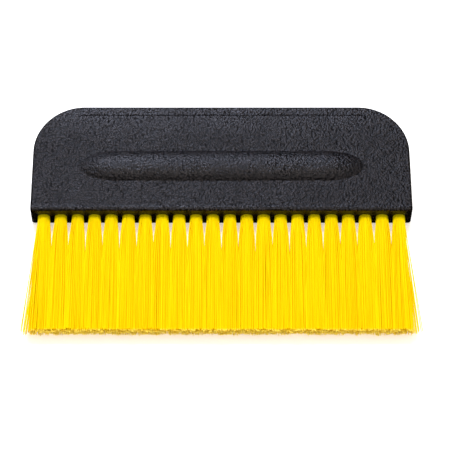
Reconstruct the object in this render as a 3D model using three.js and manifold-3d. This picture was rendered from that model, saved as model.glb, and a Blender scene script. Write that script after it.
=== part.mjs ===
// A hand brush with one row of bristles: a flat moulded plastic handle with a raised grip rib,
// and a row of tufts, each one folded over a flat wire anchor and driven into a blind hole.
//
// Millimetres. The brush lies on its back: +Z is up, out of the ribbed front face, +X runs along
// the row of tufts, +Y points to the top of the handle and the bristles point to -Y. The origin
// is under the middle of the brush, on the surface that it rests on.

import * as THREE from 'three';
import { mergeVertices } from 'three/addons/utils/BufferGeometryUtils.js';
import Module from 'manifold-3d';

// ---- Driving dimensions ----------------------------------------------------------------------

const TUFT_COUNT = 22;
const TUFT_PITCH = 6.35; // centre to centre, a quarter of an inch
const BRISTLE_LENGTH = 47.5; // free length, from the handle to the trimmed ends

const HOLE_DIAMETER = 4.76; // a 3/16 inch drill
const HOLE_DEPTH = 11; // to the shoulder of the drill's point
const DRILL_POINT = 1.2; // length of the cone that the drill leaves
const CLEARANCE = 0.3; // kept between pieces that touch on the real brush

const END_MARGIN = 2.55; // plastic outside the last hole of the row
const HANDLE_HEIGHT = 44.5;
const HANDLE_THICKNESS = 11;
const TOP_CORNER_RADIUS = 19;
const FOOT_CORNER_RADIUS = 1.6;
const SIDE_TAPER = 0.3; // each side leans in by this much on its way up
const EDGE_RADIUS = 1.3; // rounding between the faces and the rim

const RIB_LENGTH = 107.5;
const RIB_WIDTH = 12.7;
const RIB_RISE = 2; // height above the front face
const RIB_SINK = 3; // depth of the rib's axis below the front face
const RIB_CENTRE = 18.9; // from the bristle side of the handle
const RIB_TAPER = 15; // length of each narrowing end

const PANEL_LENGTH = 110; // shallow blank panel above the rib
const PANEL_HEIGHT = 11.5;
const PANEL_DEPTH = 0.25;
const PANEL_MARGIN = 3.2; // from the panel to the top of the handle

const FLARE_LENGTH = 15; // distance over which a tuft opens until it meets the next one
const TUFT_DEPTH = 5; // front to back, at the trimmed ends
const END_SPLAY = 1.5; // how far the last tuft of each end leans outwards at its tip

const ANCHOR_WIDTH = 5.6; // wider than the hole, so that it bites into the wall
const ANCHOR_HEIGHT = 2;
const ANCHOR_THICKNESS = 0.4;
const ANCHOR_DEPTH = 8; // from the mouth of the hole to the middle of the anchor

const ROUND_SIDES = 14; // facets around a hole or a tuft

// ---- Sizes worked out from them --------------------------------------------------------------

const HOLE_RADIUS = HOLE_DIAMETER / 2;
const STEM_RADIUS = HOLE_RADIUS - CLEARANCE;
const ROW_SPAN = (TUFT_COUNT - 1) * TUFT_PITCH;
const HANDLE_LENGTH = ROW_SPAN + HOLE_DIAMETER + 2 * END_MARGIN;
const ROW_HEIGHT = HANDLE_THICKNESS / 2; // the row lies midway through the handle
const HANDLE_FOOT = (BRISTLE_LENGTH - HANDLE_HEIGHT) / 2; // y of the handle's bristle side

// ---- Materials -------------------------------------------------------------------------------

const blackPlastic = () => new THREE.MeshStandardMaterial({ color: 0x2f3036, roughness: 0.5 });
const yellowFilament = () => new THREE.MeshStandardMaterial({ color: 0xfddc00, roughness: 0.4 });
const flatWire = () => new THREE.MeshStandardMaterial({ color: 0xb4b7bb, roughness: 0.35, metalness: 0.9 });

// ---- Solid joins and cuts --------------------------------------------------------------------

const wasm = await Module();
wasm.setup();

function solidOf(geometry) {
  const bare = geometry.clone();
  bare.deleteAttribute('normal');
  bare.deleteAttribute('uv');
  const merged = mergeVertices(bare, 1e-4);
  return new wasm.Manifold(new wasm.Mesh({
    numProp: 3,
    vertProperties: new Float32Array(merged.attributes.position.array),
    triVerts: new Uint32Array(merged.index.array),
  }));
}

function geometryOf(solid) {
  const { vertProperties, triVerts } = solid.getMesh();
  const geometry = new THREE.BufferGeometry();
  geometry.setAttribute('position', new THREE.BufferAttribute(vertProperties, 3));
  geometry.setIndex(new THREE.BufferAttribute(triVerts, 1));
  return geometry;
}

// ---- The handle ------------------------------------------------------------------------------

// The plate stands on its bristle side, at y = 0, between its back at z = 0 and its front.
function plate() {
  const half = HANDLE_LENGTH / 2;
  const shoulder = HANDLE_HEIGHT - TOP_CORNER_RADIUS;
  const top = half - SIDE_TAPER - TOP_CORNER_RADIUS;
  const foot = half - FOOT_CORNER_RADIUS;
  const outline = new THREE.Shape();
  outline.absarc(foot, FOOT_CORNER_RADIUS, FOOT_CORNER_RADIUS, -Math.PI / 2, 0);
  outline.absarc(top, shoulder, TOP_CORNER_RADIUS, 0, Math.PI / 2);
  outline.absarc(-top, shoulder, TOP_CORNER_RADIUS, Math.PI / 2, Math.PI);
  outline.absarc(-foot, FOOT_CORNER_RADIUS, FOOT_CORNER_RADIUS, Math.PI, Math.PI * 1.5);
  return new THREE.ExtrudeGeometry(outline, {
    depth: HANDLE_THICKNESS - 2 * EDGE_RADIUS,
    bevelThickness: EDGE_RADIUS,
    bevelSize: EDGE_RADIUS,
    bevelOffset: -EDGE_RADIUS,
    bevelSegments: 3,
    curveSegments: 10,
  }).translate(0, 0, EDGE_RADIUS);
}

// The rib is a long spindle, flattened and sunk into the plate so that only a low lens of it
// shows. The outline that shows has the end of an ellipse at each end.
function rib() {
  const edge = RIB_SINK / (RIB_SINK + RIB_RISE);
  const radius = RIB_WIDTH / 2 / Math.sqrt(1 - edge ** 2);
  const steps = 6;
  const end = [];
  for (let i = 0; i <= steps; i += 1) {
    const turn = (i / steps) * (Math.PI / 2);
    const share = Math.hypot(edge, Math.sqrt(1 - edge ** 2) * Math.cos(turn));
    end.push([radius * share, RIB_LENGTH / 2 - RIB_TAPER * (1 - Math.sin(turn))]);
  }
  const profile = [
    new THREE.Vector2(0, -RIB_LENGTH / 2),
    ...end.toReversed().map(([r, y]) => new THREE.Vector2(r, -y)),
    ...end.map(([r, y]) => new THREE.Vector2(r, y)),
    new THREE.Vector2(0, RIB_LENGTH / 2),
  ];
  return new THREE.LatheGeometry(profile, 28)
    .rotateZ(-Math.PI / 2)
    .scale(1, 1, (RIB_SINK + RIB_RISE) / radius)
    .translate(0, RIB_CENTRE, HANDLE_THICKNESS - RIB_SINK);
}

function panel() {
  const middle = HANDLE_HEIGHT - PANEL_MARGIN - PANEL_HEIGHT / 2;
  return new THREE.BoxGeometry(PANEL_LENGTH, PANEL_HEIGHT, 2 * PANEL_DEPTH)
    .translate(0, middle, HANDLE_THICKNESS);
}

// A drilled hole, open below y = 0, with a conical bottom.
function drilledHole() {
  const profile = [
    new THREE.Vector2(0, -1),
    new THREE.Vector2(HOLE_RADIUS, -1),
    new THREE.Vector2(HOLE_RADIUS, HOLE_DEPTH),
    new THREE.Vector2(0, HOLE_DEPTH + DRILL_POINT),
  ];
  return new THREE.LatheGeometry(profile, ROUND_SIDES);
}

// The room that an anchor takes, across the row, so that the thin walls between holes stay whole.
function anchorRoom(width) {
  return new THREE.BoxGeometry(
    ANCHOR_THICKNESS + 2 * CLEARANCE,
    ANCHOR_HEIGHT + 2 * CLEARANCE,
    width + 2 * CLEARANCE,
  ).translate(0, ANCHOR_DEPTH, 0);
}

function handle(rowPositions) {
  const socket = solidOf(drilledHole()).add(solidOf(anchorRoom(ANCHOR_WIDTH)));
  let solid = solidOf(plate()).add(solidOf(rib())).subtract(solidOf(panel()));
  for (const x of rowPositions) {
    solid = solid.subtract(socket.translate([x, 0, ROW_HEIGHT]));
  }
  const mesh = new THREE.Mesh(geometryOf(solid), blackPlastic());
  mesh.name = 'handle';
  return mesh;
}

// ---- The tufts -------------------------------------------------------------------------------

const smooth = (t) => t * t * (3 - 2 * t);

// Moves a point of the round stem out to the section that the tuft has at that distance from
// the handle: round at the hole, squarer and wider towards the trimmed ends.
function openOut(point, leaning) {
  const free = Math.max(-point.y, 0);
  const opened = smooth(Math.min(free / FLARE_LENGTH, 1));
  const along = free / BRISTLE_LENGTH;
  const angle = Math.atan2(point.z, point.x);
  const [c, s] = [Math.cos(angle), Math.sin(angle)];
  const power = 2 + 1.6 * opened;
  const reach = (Math.abs(c) ** power + Math.abs(s) ** power) ** (-1 / power);
  const share = Math.hypot(point.x, point.z) / STEM_RADIUS;
  const meeting = TUFT_PITCH / 2 - CLEARANCE / 2;
  const outwards = Math.sign(c) === leaning ? END_SPLAY * along ** 1.5 : 0;
  const halfWidth = THREE.MathUtils.lerp(STEM_RADIUS, meeting, opened) + outwards;
  const halfDepth = THREE.MathUtils.lerp(STEM_RADIUS, TUFT_DEPTH / 2, opened);
  point.x = c * reach * share * halfWidth;
  point.z = s * reach * share * halfDepth;
}

// One bundle, with its rounded fold at the bottom of the hole and a slot there for the anchor.
function tuft(leaning) {
  const fold = HOLE_DEPTH - CLEARANCE;
  const profile = [new THREE.Vector2(0, -BRISTLE_LENGTH)];
  for (const free of [BRISTLE_LENGTH, BRISTLE_LENGTH / 2, FLARE_LENGTH, FLARE_LENGTH / 2, 0]) {
    profile.push(new THREE.Vector2(STEM_RADIUS, -free));
  }
  profile.push(
    new THREE.Vector2(STEM_RADIUS, fold - 1),
    new THREE.Vector2(STEM_RADIUS * 0.7, fold),
    new THREE.Vector2(0, fold + CLEARANCE),
  );
  const geometry = new THREE.LatheGeometry(profile, ROUND_SIDES);
  const position = geometry.attributes.position;
  const point = new THREE.Vector3();
  for (let i = 0; i < position.count; i += 1) {
    point.fromBufferAttribute(position, i);
    openOut(point, leaning);
    position.setXYZ(i, point.x, point.y, point.z);
  }
  return geometryOf(solidOf(geometry).subtract(solidOf(anchorRoom(HOLE_DIAMETER))));
}

function anchor() {
  return new THREE.BoxGeometry(ANCHOR_THICKNESS, ANCHOR_HEIGHT, ANCHOR_WIDTH)
    .translate(0, ANCHOR_DEPTH, 0);
}

// ---- The brush -------------------------------------------------------------------------------

const brush = new THREE.Group();
brush.position.y = HANDLE_FOOT;

const rowPositions = Array.from({ length: TUFT_COUNT }, (_, i) => i * TUFT_PITCH - ROW_SPAN / 2);
brush.add(handle(rowPositions));

rowPositions.forEach((x, i) => {
  const place = new THREE.Group();
  place.position.set(x, 0, ROW_HEIGHT);
  const number = String(i + 1).padStart(2, '0');
  const last = i === 0 || i === TUFT_COUNT - 1;

  const bundle = new THREE.Mesh(tuft(last ? Math.sign(x) : 0), yellowFilament());
  bundle.name = `tuft_${number}`;
  const staple = new THREE.Mesh(anchor(), flatWire());
  staple.name = `anchor_${number}`;
  place.add(bundle, staple);
  brush.add(place);
});

export default brush;
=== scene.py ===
# %% [markdown]
# # A hand brush with one row of bristles
#
# The real object is a flat block of moulded black plastic that is held like a comb, with
# twenty-two tufts of yellow filament set in one row of holes along its lower edge. Each tuft is
# folded over a small piece of flat wire at the bottom of its hole.
#
# The engineering model is loaded first as a frame that never changes. It says how long the row
# is, where each hole and anchor sits, and how big the whole brush may be. Everything modelled
# below reads its place from there, so nothing has to be fitted afterwards. Lengths are in metres.

# %% Load the frame
import math

import bmesh
import bpy
import numpy as np
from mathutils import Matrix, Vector, noise


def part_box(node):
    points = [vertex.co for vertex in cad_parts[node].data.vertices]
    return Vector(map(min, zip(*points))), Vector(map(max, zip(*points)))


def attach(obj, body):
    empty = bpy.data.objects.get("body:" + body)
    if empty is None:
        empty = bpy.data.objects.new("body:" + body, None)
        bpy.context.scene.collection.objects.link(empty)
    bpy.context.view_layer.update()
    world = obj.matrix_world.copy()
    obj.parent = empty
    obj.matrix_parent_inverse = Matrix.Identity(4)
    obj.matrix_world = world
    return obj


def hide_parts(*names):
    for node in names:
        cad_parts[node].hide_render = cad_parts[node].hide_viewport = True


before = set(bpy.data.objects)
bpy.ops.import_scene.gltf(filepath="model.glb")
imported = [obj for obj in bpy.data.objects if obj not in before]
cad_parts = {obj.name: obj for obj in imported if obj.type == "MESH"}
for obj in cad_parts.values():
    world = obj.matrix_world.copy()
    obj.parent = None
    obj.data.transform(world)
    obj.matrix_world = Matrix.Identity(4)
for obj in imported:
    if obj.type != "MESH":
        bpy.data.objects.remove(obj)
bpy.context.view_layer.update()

# %% [markdown]
# The main sizes are read from the frame's boxes: the handle's box gives its length, height and
# the level of its back, and the anchors give the middle of every hole. The handle's box includes
# the grip rib, so the front face lies one rib height lower.

# %% Sizes that the frame gives
MM = 0.001
RIB_RISE = 2.0 * MM

handle_low, handle_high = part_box("handle")
LENGTH = handle_high.x - handle_low.x
FOOT, TOP = handle_low.y, handle_high.y
BACK, FACE = handle_low.z, handle_high.z - RIB_RISE
MIDDLE = (BACK + FACE) / 2
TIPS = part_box("tuft_01")[0].y

anchor_names = sorted(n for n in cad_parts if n.startswith("anchor"))
tuft_names = sorted(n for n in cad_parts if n.startswith("tuft"))
row = [sum(corner.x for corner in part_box(n)) / 2 for n in anchor_names]
PITCH = row[1] - row[0]
print(f"{len(row)} tufts, pitch {PITCH / MM:.2f} mm, free bristle {(FOOT - TIPS) / MM:.1f} mm")

# %% [markdown]
# ## Camera
#
# The brush lies on its back and is seen from above, from the bristle side. A long lens from
# most of a metre away keeps the two short sides nearly parallel. The camera is aimed through a
# turn about X only, so the long edges stay level, and a small shift frames the brush without
# turning the camera away from it.

# %% Camera
CAMERA_TILT = math.radians(63.46)  # above the table
CAMERA_DISTANCE = 0.847
CAMERA_LENS = 180.4
CAMERA_SHIFT = (0.0080, -0.0098)

bpy.ops.object.select_all(action="DESELECT")
away = Vector((0, -math.cos(CAMERA_TILT), math.sin(CAMERA_TILT)))
bpy.ops.object.camera_add(
    location=Vector((0, 0, MIDDLE)) + CAMERA_DISTANCE * away,
    rotation=(math.pi / 2 - CAMERA_TILT, 0, 0),
)
camera = bpy.context.object
camera.data.lens = CAMERA_LENS
camera.data.shift_x, camera.data.shift_y = CAMERA_SHIFT
bpy.context.scene.camera = camera
print("camera at", tuple(round(x, 3) for x in camera.location))

# %% [markdown]
# ## Floor and light
#
# Black plastic shows its form only by what it reflects, so it gets one soft bluish panel of its
# own behind the handle: surfaces that lean a little away from the viewer catch it, and those that
# lean further away, or towards the viewer, stay dark. A wide, faint panel overhead keeps the
# viewer's side of the rib from going black. The bristles and the floor are lit by a third panel,
# which stands behind the brush, so that the handle shades the roots of the tufts, and which is
# small enough for its light to reach between the filaments, and by a pale sky. Those two and the
# floor are kept out of reflections, because they would turn the plastic grey and its rounded rim
# white. The floor also glows a little, like a light table, which keeps the gaps between the tufts
# pale. The Standard view transform keeps the yellow as strong as it is on the real brush.

# %% Floor and light
FLOOR_SIZE = 6
FLOOR_GAP = 0.05 * MM
PAPER_WHITE = (0.95, 0.95, 0.95)
PAPER_GLOW = (1, 0.97, 0.93)
GLOW_STRENGTH = 0.45
SKY_STRENGTH = 0.36
COOL_WHITE = (0.74, 0.79, 1)
WARM_WHITE = (1, 0.92, 0.90)


def soft_panel(name, tilt, turn, distance, size, power, colour=(1, 1, 1)):
    """Adds a square soft light that looks at the brush.

    It stands tilt degrees above the floor and turn degrees round from +Y.
    """
    tilt, turn = math.radians(tilt), math.radians(turn)
    level = distance * math.cos(tilt)
    place = Vector((-level * math.sin(turn), level * math.cos(turn), distance * math.sin(tilt)))
    bpy.ops.object.light_add(type="AREA", location=place)
    panel = bpy.context.object
    panel.name = name
    panel.rotation_euler = place.to_track_quat("Z", "Y").to_euler()
    panel.data.size = size
    panel.data.energy = power
    panel.data.color = colour
    return panel


bpy.ops.object.select_all(action="DESELECT")
bpy.ops.mesh.primitive_plane_add(size=FLOOR_SIZE, location=(0, 0, BACK - FLOOR_GAP))
floor = bpy.context.object
floor.name = "floor"
paper = bpy.data.materials.new("floor_paper")
paper.use_nodes = True
paper_shader = paper.node_tree.nodes["Principled BSDF"]
paper_shader.inputs["Base Color"].default_value = (*PAPER_WHITE, 1)
paper_shader.inputs["Roughness"].default_value = 0.9
paper_shader.inputs["Emission Color"].default_value = (*PAPER_GLOW, 1)
paper_shader.inputs["Emission Strength"].default_value = GLOW_STRENGTH
floor.data.materials.append(paper)
floor.visible_glossy = False

sky = bpy.data.worlds.new("sky")
bpy.context.scene.world = sky
sky.use_nodes = True
sky.node_tree.nodes["Background"].inputs["Color"].default_value = (1, 1, 1, 1)
sky.node_tree.nodes["Background"].inputs["Strength"].default_value = SKY_STRENGTH
sky.cycles_visibility.glossy = False

soft_panel("key_panel", tilt=46, turn=15, distance=0.7, size=0.28, power=2.6, colour=COOL_WHITE)
soft_panel("glow_panel", tilt=80, turn=180, distance=1.5, size=1.2, power=7.0, colour=WARM_WHITE)
fill = soft_panel("fill_panel", tilt=66, turn=0, distance=1.5, size=0.4, power=19)
fill.visible_glossy = False
bpy.context.scene.view_settings.view_transform = "Standard"

# %% [markdown]
# ## Working in edit mode from code
#
# An edit mode operator works on whatever is selected, so each step first selects by place: the
# edges at a corner, the points at one height. `pick` is that selection, and `start_editing` and
# `stop_editing` are the two presses of the Tab key around it.

# %% Helpers for modelling
HAIR = 0.001 * MM  # lengths that differ by less count as the same


def start_editing(piece):
    """Makes piece the only selected object and enters edit mode with nothing selected."""
    bpy.ops.object.select_all(action="DESELECT")
    piece.select_set(True)
    bpy.context.view_layer.objects.active = piece
    bpy.ops.object.mode_set(mode="EDIT")
    bpy.ops.mesh.select_all(action="DESELECT")


def stop_editing():
    """Leaves edit mode."""
    bpy.ops.object.mode_set(mode="OBJECT")


def pick(piece, kind, test):
    """Selects only the points ("VERT"), edges ("EDGE") or faces ("FACE") that pass the test."""
    modes = ("VERT", "EDGE", "FACE")
    bpy.context.tool_settings.mesh_select_mode = tuple(kind == mode for mode in modes)
    bpy.ops.mesh.select_all(action="DESELECT")
    mesh = bmesh.from_edit_mesh(piece.data)
    items = (mesh.verts, mesh.edges, mesh.faces)[modes.index(kind)]
    found = [item for item in items if test(item)]
    for item in found:
        item.select_set(True)
    mesh.select_flush_mode()
    bmesh.update_edit_mesh(piece.data)
    return len(found)


def lift(piece, test, rise):
    """Raises each point that passes the test by rise of its distance up the handle (its y)."""
    mesh = bmesh.from_edit_mesh(piece.data)
    levels = sorted({round(v.co.y / MM, 3) for v in mesh.verts if test(v)})
    for level in levels:
        pick(piece, "VERT", lambda v: test(v) and round(v.co.y / MM, 3) == level)
        bpy.ops.transform.translate(value=(0, 0, rise(level * MM)))


def cut_across(piece, line):
    """Cuts piece all round at one distance up the handle, and keeps both halves."""
    bpy.ops.mesh.select_all(action="SELECT")
    bpy.ops.mesh.bisect(plane_co=(0, line, 0), plane_no=(0, 1, 0), threshold=HAIR)


def near(a, b):
    """True if two lengths are the same to a thousandth of a millimetre."""
    return abs(a - b) < HAIR


def settle(piece):
    """Puts an object's place, turn and scale into its mesh."""
    bpy.ops.object.select_all(action="DESELECT")
    piece.select_set(True)
    bpy.context.view_layer.objects.active = piece
    bpy.ops.object.transform_apply(location=True, rotation=True, scale=True)


def block(name, low, high):
    """Adds a box between two corners."""
    low, high = Vector(low), Vector(high)
    bpy.ops.mesh.primitive_cube_add(size=1, location=(low + high) / 2, scale=high - low)
    piece = bpy.context.object
    piece.name = name
    settle(piece)
    return piece


def combine(piece, other, operation):
    """Joins other to piece, or cuts it out, with a Boolean modifier, and removes other."""
    bpy.ops.object.select_all(action="DESELECT")
    piece.select_set(True)
    bpy.context.view_layer.objects.active = piece
    cut = piece.modifiers.new(operation.lower(), "BOOLEAN")
    cut.operation = operation
    cut.solver = "EXACT"
    cut.object = other
    bpy.ops.object.modifier_apply(modifier=cut.name)
    bpy.data.objects.remove(other)


print("places are matched to", round(HAIR / MM, 3), "mm")

# %% [markdown]
# ## The handle's plate
#
# The real plate comes out of a mould as a thick slab with two big round upper corners, sides
# that lean in very slightly and a rim rounded all the way round. It could be drawn as a curve
# and extruded, but a box with bevelled corners gives the same outline in three bevels and keeps
# clean loops along the rim. The upright corner edges are rounded first, so that the last bevel
# can run along one unbroken loop on each face.

# %% Plate
SIDE_LEAN = 0.5 * MM
TOP_CORNER = 19.0 * MM
FOOT_CORNER = 1.1 * MM
RIM_ROUND = 0.8 * MM
TOP_STEPS = 28  # faces round a big corner
SMALL_STEPS = 6  # faces round a small one

bpy.ops.object.select_all(action="DESELECT")
half = LENGTH / 2
handle = block("brush_handle", (-half, FOOT, BACK), (half, TOP, FACE))
start_editing(handle)


def upright_at(level):
    """A test for edges that stand between the two faces at one distance up the handle."""
    return lambda edge: all(near(v.co.y, level) for v in edge.verts) and near(
        edge.verts[0].co.x, edge.verts[1].co.x
    )


def on_a_face(edge):
    """True for an edge that lies in the front or the back face."""
    a, b = edge.verts
    return near(a.co.z, b.co.z) and (near(a.co.z, BACK) or near(a.co.z, FACE))


pick(handle, "VERT", lambda v: near(v.co.y, TOP))
bpy.ops.transform.resize(value=(1 - SIDE_LEAN / half, 1, 1), center_override=(0, TOP, MIDDLE))
pick(handle, "EDGE", upright_at(TOP))
bpy.ops.mesh.bevel(offset=TOP_CORNER, segments=TOP_STEPS, affect="EDGES")
pick(handle, "EDGE", upright_at(FOOT))
bpy.ops.mesh.bevel(offset=FOOT_CORNER, segments=SMALL_STEPS, affect="EDGES")
rim = pick(handle, "EDGE", on_a_face)
bpy.ops.mesh.bevel(offset=RIM_ROUND, segments=SMALL_STEPS, affect="EDGES")
stop_editing()
print("plate:", rim, "rim edges rounded,", len(handle.data.polygons), "faces")

# %% [markdown]
# Along the bristle side, the front face rises into a low bead before it turns over the edge.
# The bead follows the edge, so the plate is cut across at a few lines with bisect, and the
# points of the front face are lifted towards the crest and let down again beyond it.

# %% Bead along the bristle side
BEAD_START = FOOT + 2.7 * MM
BEAD_CREST = FOOT + 1.5 * MM
BEAD_RISE = 0.16 * MM
BEAD_FALL = 0.26 * MM  # how far the face drops again from the crest to the edge
BEAD_STEPS = 10


def ease(t):
    """A step from 0 to 1 that starts and ends level."""
    t = min(max(t, 0), 1)
    return t * t * (3 - 2 * t)


def bead_rise(y):
    """Rise of the front face at a distance up the handle."""
    rise = BEAD_RISE * ease((BEAD_START - y) / (BEAD_START - BEAD_CREST))
    return rise - BEAD_FALL * ease((BEAD_CREST - y) / (BEAD_CREST - FOOT))


start_editing(handle)
for i in range(BEAD_STEPS):
    cut_across(handle, BEAD_START - (BEAD_START - FOOT - RIM_ROUND) * i / BEAD_STEPS)
front_rim = FACE - 0.99 * RIM_ROUND  # all of the rim's rounding but its lowest line
lift(handle, lambda v: v.co.y < BEAD_START and v.co.z > front_rim, bead_rise)
stop_editing()
print("bead lifts the edge to", round(max(v.co.z for v in handle.data.vertices) / MM, 2), "mm")

# %% [markdown]
# ## The grip rib
#
# A long low swelling in the middle of the front face gives thumb and fingers their hold. Cut
# across, it is a shallow lens, and seen from above its two ends are half ellipses. It is made as
# the outline at its foot, extruded up again and again while each end shrinks towards its own
# middle. The height at each step comes from the lens, blended at its edge into a small hollow
# fillet, because no mould leaves a knife-sharp inside corner.

# %% Grip rib
RIB_LENGTH = 107.5 * MM
RIB_WIDTH = 12.7 * MM
RIB_END = 15.0 * MM  # length of each elliptical end
RIB_CENTRE = FOOT + 18.9 * MM
LENS_SINK = 3.0 * MM  # how far the middle of the lens lies below the face
LENS_HEIGHT = LENS_SINK + RIB_RISE
FILLET = 0.08 * MM
RIB_SIDES = 96
RIB_BURIED = 2.0 * MM  # how deep the rib's underside lies in the plate
RIB_SUNK = 0.01 * MM  # lets the thin skirt dip under the face, which gives a clean join
SKIRT_SHARES = [1.16 - 0.02 * i for i in range(14)]  # small steps round the fillet
DOME_SHARES = [0.88 * math.cos(math.radians(a)) for a in range(12, 90, 7)]


def rib_height(share):
    """Height over the front face where the outline has shrunk to that share of its width."""
    sunk = LENS_SINK / LENS_HEIGHT
    lens = LENS_HEIGHT * math.sqrt(1 - (1 - sunk**2) * share**2) - LENS_SINK
    return (lens + math.hypot(lens, FILLET)) / 2 - RIB_SUNK


shares = SKIRT_SHARES + DOME_SHARES
straight = RIB_LENGTH / 2 - RIB_END
base = FACE - RIB_BURIED
bpy.ops.object.select_all(action="DESELECT")
bpy.ops.mesh.primitive_circle_add(
    vertices=RIB_SIDES, radius=1, fill_type="NGON", location=(0, RIB_CENTRE, base)
)
rib = bpy.context.object
rib.name = "rib"
rib.scale = (RIB_END * shares[0], RIB_WIDTH / 2 * shares[0], 1)
settle(rib)

start_editing(rib)
for side in (-1, 1):
    pick(rib, "VERT", lambda v: v.co.x * side > HAIR)
    bpy.ops.transform.translate(value=(side * straight, 0, 0))
level, before = base, shares[0]
for share in shares:
    rise = FACE + rib_height(share) - level
    pick(rib, "FACE", lambda f: all(near(v.co.z, level) for v in f.verts))
    bpy.ops.mesh.extrude_region_move(TRANSFORM_OT_translate={"value": (0, 0, rise)})
    level += rise
    for side in (-1, 1):
        pick(rib, "VERT", lambda v: near(v.co.z, level) and v.co.x * side > HAIR)
        bpy.ops.transform.resize(
            value=(share / before, share / before, 1),
            center_override=(side * straight, RIB_CENTRE, level),
        )
    pick(rib, "VERT", lambda v: near(v.co.z, level) and abs(v.co.x) < HAIR)
    bpy.ops.transform.resize(value=(1, share / before, 1), center_override=(0, RIB_CENTRE, level))
    before = share
bpy.ops.mesh.select_all(action="SELECT")
bpy.ops.mesh.normals_make_consistent(inside=False)
stop_editing()
print("rib rises to", round((max(v.co.z for v in rib.data.vertices) - FACE) / MM, 2), "mm")
combine(handle, rib, "UNION")

# %% [markdown]
# ## The blank panel
#
# Above the rib the mould has a long shallow insert. It meets the face flush along its lower side
# and sinks a little towards the top, so only its upper edge and its two short sides show. The
# cutter is a box with two rounded corners and a bowed underside: it is cut across with bisect,
# and each line is lowered by the depth that the panel has there. The underside is then drawn in
# a little, which gives the panel sloping walls instead of a hard step.

# %% Blank panel
PANEL_LENGTH = 110.0 * MM
PANEL_HEIGHT = 11.5 * MM
PANEL_DEPTH = 0.3 * MM
PANEL_CORNER = 2.0 * MM
PANEL_WALL = 0.45 * MM  # width of the sloping wall
PANEL_TOP = TOP - 3.2 * MM
PANEL_STEPS = 8
CUTTER_TOP = FACE + 1.0 * MM

panel_foot = PANEL_TOP - PANEL_HEIGHT
skim = FACE + 0.01 * MM  # the flush side of the cutter stays just clear of the face
cutter = block(
    "panel", (-PANEL_LENGTH / 2, panel_foot, skim), (PANEL_LENGTH / 2, PANEL_TOP, CUTTER_TOP)
)
start_editing(cutter)
pick(cutter, "EDGE", upright_at(PANEL_TOP))
bpy.ops.mesh.bevel(offset=PANEL_CORNER, segments=SMALL_STEPS, affect="EDGES")
for i in range(1, PANEL_STEPS):
    cut_across(cutter, panel_foot + PANEL_HEIGHT * i / PANEL_STEPS)
lift(
    cutter,
    lambda v: near(v.co.z, skim),
    lambda y: -PANEL_DEPTH * ((y - panel_foot) / PANEL_HEIGHT) ** 2,
)
pick(cutter, "VERT", lambda v: v.co.z < (FACE + CUTTER_TOP) / 2)
bpy.ops.transform.resize(
    value=(1 - 2 * PANEL_WALL / PANEL_LENGTH, 1 - PANEL_WALL / PANEL_HEIGHT, 1),
    center_override=(0, panel_foot, skim),
)
stop_editing()
combine(handle, cutter, "DIFFERENCE")
print("handle with rib and panel:", len(handle.data.polygons), "faces")

# %% [markdown]
# ## The drilled holes
#
# The tufts sit in a row of blind holes, and a drill leaves a cone at the bottom of each. One
# drill is modelled, as a cylinder whose inner end is extruded and shrunk to a point, and copied
# to the place of every anchor. All copies are joined and cut out in one go.

# %% Drilled holes
HOLE_RADIUS = 2.38 * MM
HOLE_DEPTH = 11.0 * MM
HOLE_SIDES = 32
DRILL_POINT = 1.2 * MM
DRILL_CLEAR = 1.0 * MM  # how far the drill sticks out of the edge

bpy.ops.object.select_all(action="DESELECT")
bpy.ops.mesh.primitive_cylinder_add(
    vertices=HOLE_SIDES,
    radius=HOLE_RADIUS,
    depth=HOLE_DEPTH + DRILL_CLEAR,
    location=(row[0], FOOT + (HOLE_DEPTH - DRILL_CLEAR) / 2, MIDDLE),
    rotation=(math.pi / 2, 0, 0),
)
drill = bpy.context.object
drill.name = "drill"
settle(drill)
shoulder = FOOT + HOLE_DEPTH
start_editing(drill)
pick(drill, "FACE", lambda f: all(near(v.co.y, shoulder) for v in f.verts))
bpy.ops.mesh.extrude_region_move(TRANSFORM_OT_translate={"value": (0, DRILL_POINT, 0)})
bpy.ops.mesh.merge(type="CENTER")
stop_editing()

drills = [drill]
for x in row[1:]:
    copy = drill.copy()
    copy.data = drill.data.copy()
    copy.location.x = x - row[0]
    bpy.context.collection.objects.link(copy)
    drills.append(copy)
bpy.ops.object.select_all(action="DESELECT")
for each in drills:
    each.select_set(True)
bpy.context.view_layer.objects.active = drill
bpy.ops.object.join()
combine(handle, drill, "DIFFERENCE")
print("handle with", len(row), "holes:", len(handle.data.polygons), "faces")

# %% [markdown]
# The flat faces should look flat and the rounded rim round. Smooth shading by angle rounds only
# the shallow edges, and the Weighted Normal modifier lets the big flat faces decide the shading
# at the edges they share with the small faces of a bevel.

# %% Smooth shading of the handle
SMOOTH_BELOW = math.radians(32)

start_editing(handle)
bpy.ops.mesh.select_all(action="SELECT")
bpy.ops.mesh.remove_doubles(threshold=HAIR)
bpy.ops.mesh.select_all(action="SELECT")
bpy.ops.mesh.normals_make_consistent(inside=False)
stop_editing()
bpy.ops.object.shade_smooth_by_angle(angle=SMOOTH_BELOW)
weighted = handle.modifiers.new("weighted", "WEIGHTED_NORMAL")
weighted.keep_sharp = True
bpy.ops.object.modifier_apply(modifier=weighted.name)
print("handle finished:", len(handle.data.vertices), "points")
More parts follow.
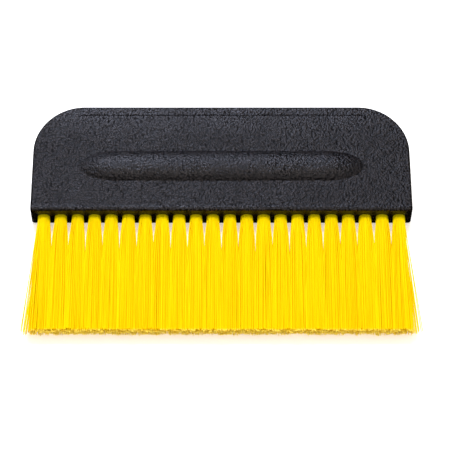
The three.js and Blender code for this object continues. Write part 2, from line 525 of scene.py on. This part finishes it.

# %% [markdown]
# ## Black moulded plastic
#
# The plastic has a pebble grain from the mould: low rounded grains less than a millimetre across,
# with narrow valleys between them. Object coordinates give the pattern its real scale. The
# distance to the nearest cell centre of a Voronoi texture, squared and turned over, is a low dome
# in every cell. Two sizes of dome and a little noise are added up, and one Bump node turns the
# sum into relief. The same sum also makes the base colour darker in the valleys and lighter on the
# tops of the grains: painted shade of the grain, on top of its relief.
# The rib, the bead and the strip towards the top edge are rubbed by the hand, so their relief is
# weaker and their gloss stronger, and a slow noise varies the gloss a little all over.
#
# The material needs a few nodes again and again, so small helpers that add them come first.

# %% Helpers for materials
def new_material(name):
    """A material with its nodes, its links, its shader and its Object coordinates."""
    made = bpy.data.materials.new(name)
    made.use_nodes = True
    nodes = made.node_tree.nodes
    place = nodes.new("ShaderNodeTexCoord").outputs["Object"]
    return made, nodes, made.node_tree.links, nodes["Principled BSDF"], place


def noise_of(nodes, links, place, scale, detail=2.0, roughness=0.5):
    """A Noise texture on the given coordinates."""
    texture = nodes.new("ShaderNodeTexNoise")
    texture.inputs["Scale"].default_value = scale
    texture.inputs["Detail"].default_value = detail
    texture.inputs["Roughness"].default_value = roughness
    links.new(place, texture.inputs["Vector"])
    return texture.outputs["Fac"]


def spread(nodes, links, value, low, high, source=(0.3, 0.7)):
    """Maps a value from its source range to a new range."""
    span = nodes.new("ShaderNodeMapRange")
    for name, number in zip(("From Min", "From Max", "To Min", "To Max"), (*source, low, high)):
        span.inputs[name].default_value = number
    links.new(value, span.inputs["Value"])
    return span.outputs["Result"]


def combine_values(nodes, links, operation, a, b):
    """A Math node of two values, each a socket or a number."""
    node = nodes.new("ShaderNodeMath")
    node.operation = operation
    for socket, value in zip(node.inputs, (a, b)):
        if isinstance(value, (int, float)):
            socket.default_value = value
        else:
            links.new(value, socket)
    return node.outputs["Value"]


def two_tones(nodes, links, value, first, second):
    """A colour between two colours, by a value from 0 to 1."""
    mix = nodes.new("ShaderNodeMix")
    mix.data_type = "RGBA"
    links.new(value, mix.inputs["Factor"])
    mix.inputs["A"].default_value = (*first, 1)
    mix.inputs["B"].default_value = (*second, 1)
    return mix.outputs["Result"]


print("material helpers: noise_of, spread, combine_values, two_tones")

# %% [markdown]
# Now the grain itself. `domes` is one size of grain, `rubbed` says where the hand has worn it, and
# `black_plastic` puts both together. The gloss and the relief vary through linked sockets, while
# the strength of the reflection is one number, the same all over.

# %% Black plastic
GRAIN = 0.8 * MM
SMALL_GRAIN = 0.6 * GRAIN
SMALL_HEIGHT = 0.4  # of the height of the large grain
GRAIN_BLUR = 0.25
GRAIN_RELIEF = 0.25 * MM
FINE_SCALE = 2.5 / GRAIN
FINE_HEIGHT = 0.5
RELIEF_ENDS = (-0.16, 0.11)  # the usual lowest and highest value of the summed grain
RIB_RUBBED = (FACE + 0.4 * MM, FACE + 1.6 * MM)  # from untouched to fully rubbed
RUBBED_RELIEF = 0.75  # share of the relief that is left where the hand rubs
RUBBED_GLOSS = 0.09
PLASTIC_ROUGHNESS = (0.29, 0.39)
GLOSS_SCALE = 60
PLASTIC_REFLECTION = 0.42
# painted shade: the base colour is this dark in the valleys of the grain, and TOP_TONE on its tops
VALLEY_PAINTED_SHADE = (0.0010, 0.0009, 0.0012)
TOP_TONE = (0.0180, 0.0145, 0.0140)


def domes(nodes, links, place, size, height):
    """Low domes of about one size: how far each point lies below the top of its dome."""
    cell = nodes.new("ShaderNodeTexVoronoi")
    cell.feature = "SMOOTH_F1"
    cell.inputs["Scale"].default_value = 1 / size
    cell.inputs["Smoothness"].default_value = GRAIN_BLUR
    links.new(place, cell.inputs["Vector"])
    distance = cell.outputs["Distance"]
    drop = combine_values(nodes, links, "MULTIPLY", distance, distance)
    return combine_values(nodes, links, "MULTIPLY", drop, height)


def rubbed(nodes, links, place):
    """From 0 on the untouched faces to 1 on the rib, on the bead and towards the top edge."""
    split = nodes.new("ShaderNodeSeparateXYZ")
    links.new(place, split.inputs["Vector"])
    on_rib = spread(nodes, links, split.outputs["Z"], 0, 1, RIB_RUBBED)
    near_top = spread(nodes, links, split.outputs["Y"], 0, 1, (panel_foot, PANEL_TOP))
    on_bead = spread(nodes, links, split.outputs["Y"], 1, 0, (BEAD_CREST, BEAD_START))
    edges = combine_values(nodes, links, "MAXIMUM", near_top, on_bead)
    return combine_values(nodes, links, "MAXIMUM", on_rib, edges)


def black_plastic():
    """The moulded plastic of the handle: its grain, its rubbed places, its gloss, and its tone
    with painted shade in the grain's valleys.
    """
    made, nodes, links, shader, place = new_material("black_plastic")
    large = domes(nodes, links, place, GRAIN, 1.0)
    small = domes(nodes, links, place, SMALL_GRAIN, SMALL_HEIGHT)
    dimples = combine_values(nodes, links, "ADD", large, small)
    fine = noise_of(nodes, links, place, FINE_SCALE, detail=2)
    uneven = combine_values(nodes, links, "MULTIPLY", fine, FINE_HEIGHT)
    relief = combine_values(nodes, links, "SUBTRACT", uneven, dimples)
    worn = rubbed(nodes, links, place)
    bump = nodes.new("ShaderNodeBump")
    links.new(spread(nodes, links, worn, 1.0, RUBBED_RELIEF, (0, 1)), bump.inputs["Strength"])
    bump.inputs["Distance"].default_value = GRAIN_RELIEF
    links.new(relief, bump.inputs["Height"])
    links.new(bump.outputs["Normal"], shader.inputs["Normal"])
    slow = noise_of(nodes, links, place, GLOSS_SCALE, detail=3)
    dull = spread(nodes, links, slow, *PLASTIC_ROUGHNESS)
    gloss = combine_values(nodes, links, "MULTIPLY", worn, RUBBED_GLOSS)
    rough = combine_values(nodes, links, "SUBTRACT", dull, gloss)
    links.new(rough, shader.inputs["Roughness"])
    # painted shade: a darker base colour in the valleys of the grain, a lighter one on its tops
    grain_shade_share = spread(nodes, links, relief, 0, 1, RELIEF_ENDS)
    tone = two_tones(nodes, links, grain_shade_share, VALLEY_PAINTED_SHADE, TOP_TONE)
    links.new(tone, shader.inputs["Base Color"])
    shader.inputs["Specular IOR Level"].default_value = PLASTIC_REFLECTION
    return made


handle.data.materials.clear()
handle.data.materials.append(black_plastic())
print("handle material:", handle.data.materials[0].name)

# %% [markdown]
# ## One filament
#
# A bristle of this kind is not one hair but a long one folded in half: both of its ends are in
# the trimmed edge of the brush, and its middle goes round the wire anchor. It is modelled once,
# stretched out straight: a thin rod with five sides, whose long edges are subdivided into twelve
# lengths so that it can be bent. Thousands of copies follow, so it has no more faces than that.

# %% One filament
FILAMENT_RADIUS = 0.15 * MM
FILAMENT_SIDES = 5
LENGTHS = 12

bpy.ops.object.select_all(action="DESELECT")
bpy.ops.mesh.primitive_cylinder_add(
    vertices=FILAMENT_SIDES,
    radius=FILAMENT_RADIUS,
    depth=1,
    location=(0, 0.5, 0),
    rotation=(math.pi / 2, 0, 0),
)
rod = bpy.context.object
rod.name = "rod"
settle(rod)
start_editing(rod)
pick(rod, "EDGE", lambda e: abs(e.verts[0].co.y - e.verts[1].co.y) > 0.5)
bpy.ops.mesh.subdivide(number_cuts=LENGTHS - 1)
stop_editing()
rod_points = np.array([v.co for v in rod.data.vertices])
rod_faces = [list(f.vertices) for f in rod.data.polygons]
rod_station = np.rint(rod_points[:, 1] * LENGTHS).astype(int)
bpy.data.objects.remove(rod)
print("filament:", len(rod_points), "points,", len(rod_faces), "faces")

# %% [markdown]
# ## Laying a filament
#
# The stations along the rod are: the cut end of one leg, three points on the way to the
# handle, the mouth of the hole, the side of the anchor, the bottom of the fold, and the same
# back again. The legs fill a round hole, but a finger's width further on they have spread until
# they meet the next tuft, and from there on they form one even curtain. So each leg leaves its
# hole straight and moves sideways to the place where its row of legs fills the whole pitch.

# %% Shape of a leg
FREE = FOOT - TIPS
LEG_STATIONS = np.array([1.0, 0.7, 0.42, 0.18, 0.0])  # share of the free length, from the cut end
OPENING_LENGTH = 0.18  # share of the free length over which most of the opening happens
OVERLAP = 0.25 * MM  # how far neighbouring tufts mix at their tips
UNHELD_SPREAD = 0.5 * MM  # the same for the free sides of the end tufts
LEAST_ROW = 0.5  # the shortest row of legs counts as at least this share of the hole's radius
LEG_SPACING = 0.285 * MM
ROOT_SCATTER = 0.03 * MM  # how far a leg stands off its place in the pattern
LEG_CIRCLE = HOLE_RADIUS - FILAMENT_RADIUS - ROOT_SCATTER
FOLD_TUCK = 0.8  # share of its distance from the axis that a leg keeps at the fold
FOLD_REACH = 0.3 * MM  # how far before the anchor's end the fold starts
FOLD_BULGE = 0.75
ANCHOR_SIDE = 0.36 * MM
ANCHOR_GAP = 0.1 * MM
ANCHOR_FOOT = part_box(anchor_names[0])[1].y


def opened(share):
    """How far the tuft has opened, from 0 at the handle to 1 at the tip."""
    return (1 - np.exp(-share / OPENING_LENGTH)) / (1 - math.exp(-1 / OPENING_LENGTH))


def leg(root, lean, bow, trim, unheld):
    """The five points of a leg around its tuft's axis, from the cut end to the hole's mouth.

    A leg that no neighbouring tuft holds opens evenly over its whole length.
    """
    row_width = math.sqrt(max(LEG_CIRCLE**2 - root[1] ** 2, (LEAST_ROW * LEG_CIRCLE) ** 2))
    full_width = PITCH / 2 + (UNHELD_SPREAD if unheld else OVERLAP)
    spread_x = root[0] * (full_width / row_width - 1)
    share = LEG_STATIONS if unheld else opened(LEG_STATIONS)
    swing = 4 * LEG_STATIONS * (1 - LEG_STATIONS)
    x = root[0] + spread_x * share + lean[0] * LEG_STATIONS + bow[0] * swing
    z = root[1] + lean[1] * LEG_STATIONS + bow[1] * swing
    return np.stack([x, -LEG_STATIONS * (FREE + trim), z], axis=1)


def centreline(first, second):
    """The thirteen points of a folded filament: down one leg, round the anchor, up the other."""
    depth = ANCHOR_FOOT - FOOT
    near_side, far_side = (
        max(abs(points[-1, 0]) * FOLD_TUCK, ANCHOR_SIDE) for points in (first, second)
    )
    start = depth - FOLD_REACH
    bottom = depth + ANCHOR_GAP + FOLD_BULGE * (near_side + far_side) / 2
    z = (first[-1, 2] + second[-1, 2]) / 2
    fold = [[near_side, start, z], [0, bottom, z], [-far_side, start, z]]
    return np.vstack([first, fold, second[::-1]])


# direction of the rod's own x axis at each station: it turns half round as the rod is folded
turn = np.radians([0] * 5 + [0, 90, 180] + [180] * 5)
ACROSS = np.stack([np.cos(turn), np.sin(turn), np.zeros(LENGTHS + 1)], axis=1)
UP = np.array([0.0, 0.0, 1.0])


def bend_rod(line):
    """The rod's points, bent to follow a centreline."""
    offset = rod_points[:, [0]] * ACROSS[rod_station] + rod_points[:, [2]] * UP
    return line[rod_station] + offset


half_way = -OPENING_LENGTH * math.log(0.5) * FREE
print("a tuft is half open", round(half_way / MM, 1), "mm from the handle")

# %% [markdown]
# ## A tuft
#
# The legs of one tuft stand in the hole in a close hexagonal pattern, half of them on each side
# of the anchor. Filaments differ: each has its own tint, stored as an attribute that the
# material reads, its own trim and a small lean, part of which it shares with its neighbours. A
# few stray, and at the two ends of the row, where no neighbour holds them, some fan outwards.

# %% Lay the tufts
SEED = 1000
NOISE_SEED = 1
TUFT_STEP = 9.7  # gives each tuft its own place in the noise
STRAND = 0.9 * MM  # distance over which neighbouring legs still bend alike
SHARED_LEAN = (0.12 * MM, 0.10 * MM)  # along the row and across it
OWN_LEAN = (0.10 * MM, 0.08 * MM)
OWN_BOW = 0.06 * MM
STRAY_SHARE = 0.012
STRAY_LEAN = 1.6 * MM
FAN_SHARE = 0.22  # share of the unheld legs that fan outwards
FAN_WIDTH = 3.4 * MM
FAN_START = 0.2  # share of the leg circle beyond which a leg of an end tuft may fan
TRIM_MEAN = -0.4 * MM
TRIM_SCATTER = 0.16 * MM
TRIM_WAVE = 0.7 * MM
TRIM_SLANT = 0.15  # the lower legs are a little longer than the upper ones
ROUND_BELOW = math.radians(80)  # above the angle between a rod's sides, below that of its ends


def leg_places():
    """Places of the legs on the +X side of the anchor, in a hexagonal pattern."""
    places = []
    row_step = LEG_SPACING * math.sqrt(0.75)
    rows = int(LEG_CIRCLE / row_step) + 1
    for i in range(-rows, rows + 1):
        z = i * row_step
        for j in range(rows * 2):
            x = (j + 0.5 * (i % 2) + 0.25) * LEG_SPACING
            if math.hypot(x, z) < LEG_CIRCLE:
                places.append((x, z))
    return places


def make_leg(root, number, outwards, rng):
    """One leg with its chance lean, bow and trim. outwards is the free side of an end tuft."""
    strand = Vector((root[0] / STRAND, root[1] / STRAND, number * TUFT_STEP))
    together = noise.noise_vector(strand)
    lean = [SHARED_LEAN[i] * together[i] + rng.normal(0, OWN_LEAN[i]) for i in range(2)]
    if rng.random() < STRAY_SHARE:
        lean[0] += rng.uniform(-STRAY_LEAN, STRAY_LEAN)
    outer = outwards * root[0] / LEG_CIRCLE
    if outer > FAN_START and rng.random() < FAN_SHARE:
        lean[0] += outwards * (LEG_CIRCLE * (1 - outer) + rng.uniform(0, FAN_WIDTH))
    bow = rng.normal(0, OWN_BOW, 2)
    trim = rng.normal(TRIM_MEAN, TRIM_SCATTER) + TRIM_WAVE * together[2] - TRIM_SLANT * root[1]
    return leg(root, lean, bow, trim, outer > 0)


def lay_tuft(name, x, number):
    """One tuft: every folded filament in one mesh, with a tint for each."""
    rng = np.random.default_rng(SEED + number)
    outwards = {0: -1, len(row) - 1: 1}.get(number, 0)
    points, faces, tints = [], [], []
    for root in leg_places():
        near_root = np.array(root) + rng.normal(0, ROOT_SCATTER, 2)
        far_root = np.array([-root[0], root[1]]) + rng.normal(0, ROOT_SCATTER, 2)
        line = centreline(
            make_leg(near_root, number, outwards, rng), make_leg(far_root, number, outwards, rng)
        )
        start = len(points) * len(rod_points)
        points.append(bend_rod(line) + np.array([x, FOOT, MIDDLE]))
        faces.extend([start + i for i in face] for face in rod_faces)
        tints.append(np.full(len(rod_points), rng.random()))
    mesh = bpy.data.meshes.new(name)
    mesh.from_pydata(np.concatenate(points).tolist(), [], faces)
    tint = mesh.attributes.new("tint", "FLOAT", "POINT")
    tint.data.foreach_set("value", np.concatenate(tints))
    piece = bpy.data.objects.new(name, mesh)
    bpy.context.collection.objects.link(piece)
    return piece


noise.seed_set(NOISE_SEED)  # without it the noise starts from the clock, new in each run
tufts = [lay_tuft(f"bristles_{i + 1:02d}", x, i) for i, x in enumerate(row)]
for piece in tufts:
    bpy.ops.object.select_all(action="DESELECT")
    piece.select_set(True)
    bpy.context.view_layer.objects.active = piece
    bpy.ops.object.shade_smooth_by_angle(angle=ROUND_BELOW)
print(len(leg_places()), "folded filaments in each tuft,", len(tufts[0].data.polygons), "faces")

# %% [markdown]
# ## Yellow filament
#
# The filament is bright yellow synthetic, coloured all through and only a little glossy. Each
# one takes its tint from its attribute, between two close golds. Next to the handle the colour is
# darker and nearer to lemon: that is painted shade, for the shadow that the handle casts on the
# roots, as the filament itself is most likely one even colour there. Over the last half millimetre
# of the trimmed edge the colour changes once more, to a paler, lighter yellow: the cut ends are
# partly pale from the shears, and partly painted light on end faces that the lamps leave dim.

# %% Yellow filament
LIGHT_GOLD = (0.97, 0.650, 0.0)
DEEP_GOLD = (0.97, 0.622, 0.0)
# painted shade: the darker, more lemon colour given to the roots next to the handle
ROOT_PAINTED_SHADE = (0.76, 0.66, 0.0)
# partly painted light: the cut ends are paler from the shears, and lighter to stand for light on
# end faces the lamps leave dim
CUT_PALE_PAINTED_LIGHT = (1.0, 0.79, 0.11)
ROOT_SHADE_REACH = 4.5 * MM  # how far the lemon tone of the roots reaches from the handle
CUT_START, CUT_END = TIPS + 0.9 * MM, TIPS + 0.3 * MM
TINT_ENDS = (0.0, 0.6)
TINT_SCALE = 400
FILAMENT_ROUGHNESS = (0.38, 0.5)
FILAMENT_WEAR = 3000
FILAMENT_REFLECTION = 0.06


def blend_to(nodes, links, factor, tone, colour):
    """A colour that goes from a tone to a fixed colour, by a value from 0 to 1."""
    mix = nodes.new("ShaderNodeMix")
    mix.data_type = "RGBA"
    links.new(factor, mix.inputs["Factor"])
    links.new(tone, mix.inputs["A"])
    mix.inputs["B"].default_value = (*colour, 1)
    return mix.outputs["Result"]


def yellow_filament():
    """The yellow of a filament, from its root at the handle to its cut end."""
    made, nodes, links, shader, place = new_material("yellow_filament")
    tint = nodes.new("ShaderNodeAttribute")
    tint.attribute_name = "tint"
    slow = noise_of(nodes, links, place, TINT_SCALE, detail=1)
    mixed = combine_values(nodes, links, "MULTIPLY", tint.outputs["Fac"], slow)
    share = spread(nodes, links, mixed, 0, 1, TINT_ENDS)
    tone = two_tones(nodes, links, share, LIGHT_GOLD, DEEP_GOLD)
    split = nodes.new("ShaderNodeSeparateXYZ")
    links.new(place, split.inputs["Vector"])
    # painted shade on the roots: the colour darkens within a few millimetres of the handle
    root = spread(nodes, links, split.outputs["Y"], 0, 1, (FOOT - ROOT_SHADE_REACH, FOOT))
    tone = blend_to(nodes, links, root, tone, ROOT_PAINTED_SHADE)
    # cut ends: partly their own paler colour, partly painted light on the end faces
    cut = spread(nodes, links, split.outputs["Y"], 1, 0, (CUT_END, CUT_START))
    tone = blend_to(nodes, links, cut, tone, CUT_PALE_PAINTED_LIGHT)
    links.new(tone, shader.inputs["Base Color"])
    fine = noise_of(nodes, links, place, FILAMENT_WEAR, detail=1)
    links.new(spread(nodes, links, fine, *FILAMENT_ROUGHNESS), shader.inputs["Roughness"])
    shader.inputs["Specular IOR Level"].default_value = FILAMENT_REFLECTION
    return made


filament_yellow = yellow_filament()
for piece in tufts:
    piece.data.materials.append(filament_yellow)
print("bristle material:", filament_yellow.name)

# %% [markdown]
# ## Anchors
#
# The anchors are short lengths of flat steel wire. Their engineering shape is right, so the
# frame's own nodes stay and only get a finish: drawn steel, with fine lines along the wire.

# %% Anchor steel
DARK_STEEL = (0.42, 0.43, 0.45)
LIGHT_STEEL = (0.58, 0.58, 0.59)
STEEL_ROUGHNESS = (0.25, 0.45)
LINE_SCALE = 9000
ALONG_WIRE = (1, 1, 0.05)  # stretches the noise into lines along Z, the length of the wire


def anchor_steel():
    """Drawn steel for the anchors."""
    made, nodes, links, shader, place = new_material("anchor_steel")
    stretch = nodes.new("ShaderNodeMapping")
    stretch.inputs["Scale"].default_value = ALONG_WIRE
    links.new(place, stretch.inputs["Vector"])
    lines = noise_of(nodes, links, stretch.outputs["Vector"], LINE_SCALE, detail=2)
    links.new(spread(nodes, links, lines, *STEEL_ROUGHNESS), shader.inputs["Roughness"])
    tone = two_tones(nodes, links, lines, DARK_STEEL, LIGHT_STEEL)
    links.new(tone, shader.inputs["Base Color"])
    shader.inputs["Metallic"].default_value = 1.0
    return made


steel = anchor_steel()
for name in anchor_names:
    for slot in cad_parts[name].material_slots:
        slot.material = steel
print(len(anchor_names), "anchors in", steel.name)

# %% [markdown]
# ## What each piece stands for
#
# Nothing on this brush moves, so every piece rides on the one body. The new handle stands for
# the plain one in the frame, and each tuft for its solid bundle.

# %% Hand over to the frame
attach(handle, "root")
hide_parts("handle")
for piece, name in zip(tufts, tuft_names):
    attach(piece, "root")
    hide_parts(name)
